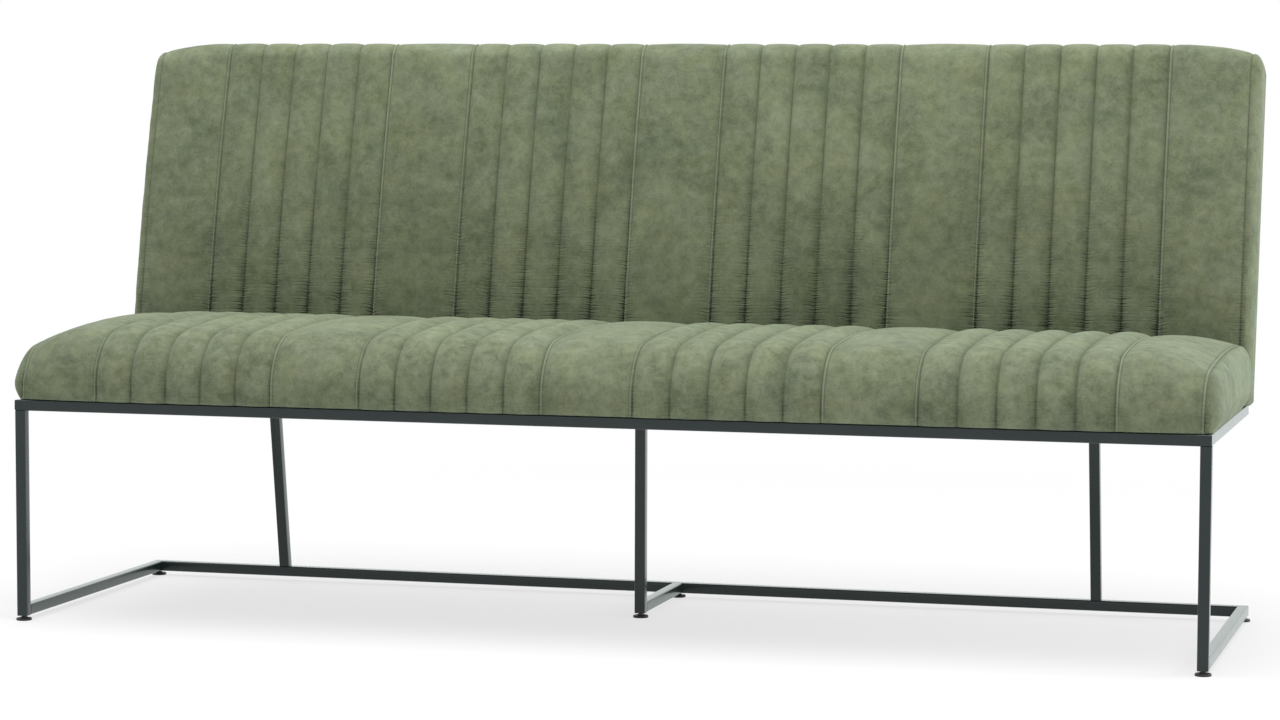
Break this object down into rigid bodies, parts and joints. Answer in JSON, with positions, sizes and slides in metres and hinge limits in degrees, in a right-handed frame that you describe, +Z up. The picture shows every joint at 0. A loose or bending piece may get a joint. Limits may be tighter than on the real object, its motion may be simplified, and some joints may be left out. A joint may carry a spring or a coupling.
{
  "type": "dining banquette",
  "caption": "Free-standing dining bench with a quilted, channelled seat and a leaning quilted back, on an open frame of square steel tube with levelling feet",
  "frame": {"origin": "On the floor, under the middle of the overall bounding box", "axes": "+X along the bench to the right as seen from the front, +Y from the front edge of the seat towards the back, +Z up"},
  "size_m": [2.014, 0.7103, 0.9709],
  "materials": {
    "green_nubuck": "matte",
    "black_steel": "satin",
    "black_plastic": "matte",
    "zinc_steel": "satin",
    "pine": "matte",
    "foam": "matte",
    "elastic_webbing": "matte",
    "dust_cloth": "matte"
  },
  "bodies": {
    "frame": {"back_bolt_nuts": "zinc_steel", "back_bolts": "zinc_steel", "back_bottom_timber": "pine", "back_cover": "green_nubuck", "back_end_panel_left": "green_nubuck", "back_end_panel_right": "green_nubuck", "back_foam": "foam", "back_left_stile": "pine", "back_rear_cover": "green_nubuck", "back_right_stile": "pine", "back_top_timber": "pine", "back_webbing": "elastic_webbing", "centre_back_post": "black_steel", "centre_back_stile": "pine", "centre_leg": "black_steel", "centre_runner": "black_steel", "centre_top_rail": "black_steel", "front_left_leg": "black_steel", "front_right_leg": "black_steel", "front_top_rail": "black_steel", "left_back_post": "black_steel", "left_back_stile": "pine", "left_runner": "black_steel", "left_top_rail": "black_steel", "left_upright": "black_steel", "leg_threaded_plugs": "black_plastic", "rail_rivet_nuts": "zinc_steel", "rear_bottom_rail": "black_steel", "rear_top_rail": "black_steel", "right_back_post": "black_steel", "right_back_stile": "pine", "right_runner": "black_steel", "right_top_rail": "black_steel", "right_upright": "black_steel", "seat_cover": "green_nubuck", "seat_cross_battens": "pine", "seat_dust_cover": "dust_cloth", "seat_end_panel_left": "green_nubuck", "seat_end_panel_right": "green_nubuck", "seat_fixing_tabs": "black_steel", "seat_foam": "foam", "seat_front_batten": "pine", "seat_left_batten": "pine", "seat_rear_batten": "pine", "seat_right_batten": "pine", "seat_screws": "zinc_steel", "seat_webbing": "elastic_webbing"},
    "front_left_pad": {"front_left_foot_pad": "black_plastic"},
    "front_left_stud": {"front_left_foot_stud": "zinc_steel"},
    "front_right_pad": {"front_right_foot_pad": "black_plastic"},
    "front_right_stud": {"front_right_foot_stud": "zinc_steel"},
    "centre_pad": {"centre_foot_pad": "black_plastic"},
    "centre_stud": {"centre_foot_stud": "zinc_steel"},
    "rear_left_pad": {"rear_left_foot_pad": "black_plastic"},
    "rear_left_stud": {"rear_left_foot_stud": "zinc_steel"},
    "rear_right_pad": {"rear_right_foot_pad": "black_plastic"},
    "rear_right_stud": {"rear_right_foot_stud": "zinc_steel"},
    "rear_centre_pad": {"rear_centre_foot_pad": "black_plastic"},
    "rear_centre_stud": {"rear_centre_foot_stud": "zinc_steel"}
  },
  "joints": [
    {"name": "front_left_foot_travel", "type": "slide", "parent": "frame", "child": "front_left_pad", "axis": [0, 0, -1], "range_m": [-0.0015, 0.008]},
    {"name": "front_left_foot_turn", "type": "hinge", "parent": "front_left_pad", "child": "front_left_stud", "pos_m": [-0.985, -0.33719, 0], "axis": [0, 0, -1], "range_deg": [-435, 2310]},
    {"name": "front_right_foot_travel", "type": "slide", "parent": "frame", "child": "front_right_pad", "axis": [0, 0, -1], "range_m": [-0.0015, 0.008]},
    {"name": "front_right_foot_turn", "type": "hinge", "parent": "front_right_pad", "child": "front_right_stud", "pos_m": [0.985, -0.33719, 0], "axis": [0, 0, -1], "range_deg": [-435, 2310]},
    {"name": "centre_foot_travel", "type": "slide", "parent": "frame", "child": "centre_pad", "axis": [0, 0, -1], "range_m": [-0.0015, 0.008]},
    {"name": "centre_foot_turn", "type": "hinge", "parent": "centre_pad", "child": "centre_stud", "pos_m": [0, -0.01219, 0], "axis": [0, 0, -1], "range_deg": [-435, 2310]},
    {"name": "rear_left_foot_travel", "type": "slide", "parent": "frame", "child": "rear_left_pad", "axis": [0, 0, -1], "range_m": [-0.0015, 0.008]},
    {"name": "rear_left_foot_turn", "type": "hinge", "parent": "rear_left_pad", "child": "rear_left_stud", "pos_m": [-0.985, 0.23581, 0], "axis": [0, 0, -1], "range_deg": [-435, 2310]},
    {"name": "rear_right_foot_travel", "type": "slide", "parent": "frame", "child": "rear_right_pad", "axis": [0, 0, -1], "range_m": [-0.0015, 0.008]},
    {"name": "rear_right_foot_turn", "type": "hinge", "parent": "rear_right_pad", "child": "rear_right_stud", "pos_m": [0.985, 0.23581, 0], "axis": [0, 0, -1], "range_deg": [-435, 2310]},
    {"name": "rear_centre_foot_travel", "type": "slide", "parent": "frame", "child": "rear_centre_pad", "axis": [0, 0, -1], "range_m": [-0.0015, 0.008]},
    {"name": "rear_centre_foot_turn", "type": "hinge", "parent": "rear_centre_pad", "child": "rear_centre_stud", "pos_m": [0, 0.23581, 0], "axis": [0, 0, -1], "range_deg": [-435, 2310]}
  ],
  "couplings": [
    {"joint": "front_left_foot_turn", "follows": "front_left_foot_travel", "rad_per_m": 5026.5},
    {"joint": "front_right_foot_turn", "follows": "front_right_foot_travel", "rad_per_m": 5026.5},
    {"joint": "centre_foot_turn", "follows": "centre_foot_travel", "rad_per_m": 5026.5},
    {"joint": "rear_left_foot_turn", "follows": "rear_left_foot_travel", "rad_per_m": 5026.5},
    {"joint": "rear_right_foot_turn", "follows": "rear_right_foot_travel", "rad_per_m": 5026.5},
    {"joint": "rear_centre_foot_turn", "follows": "rear_centre_foot_travel", "rad_per_m": 5026.5}
  ]
}
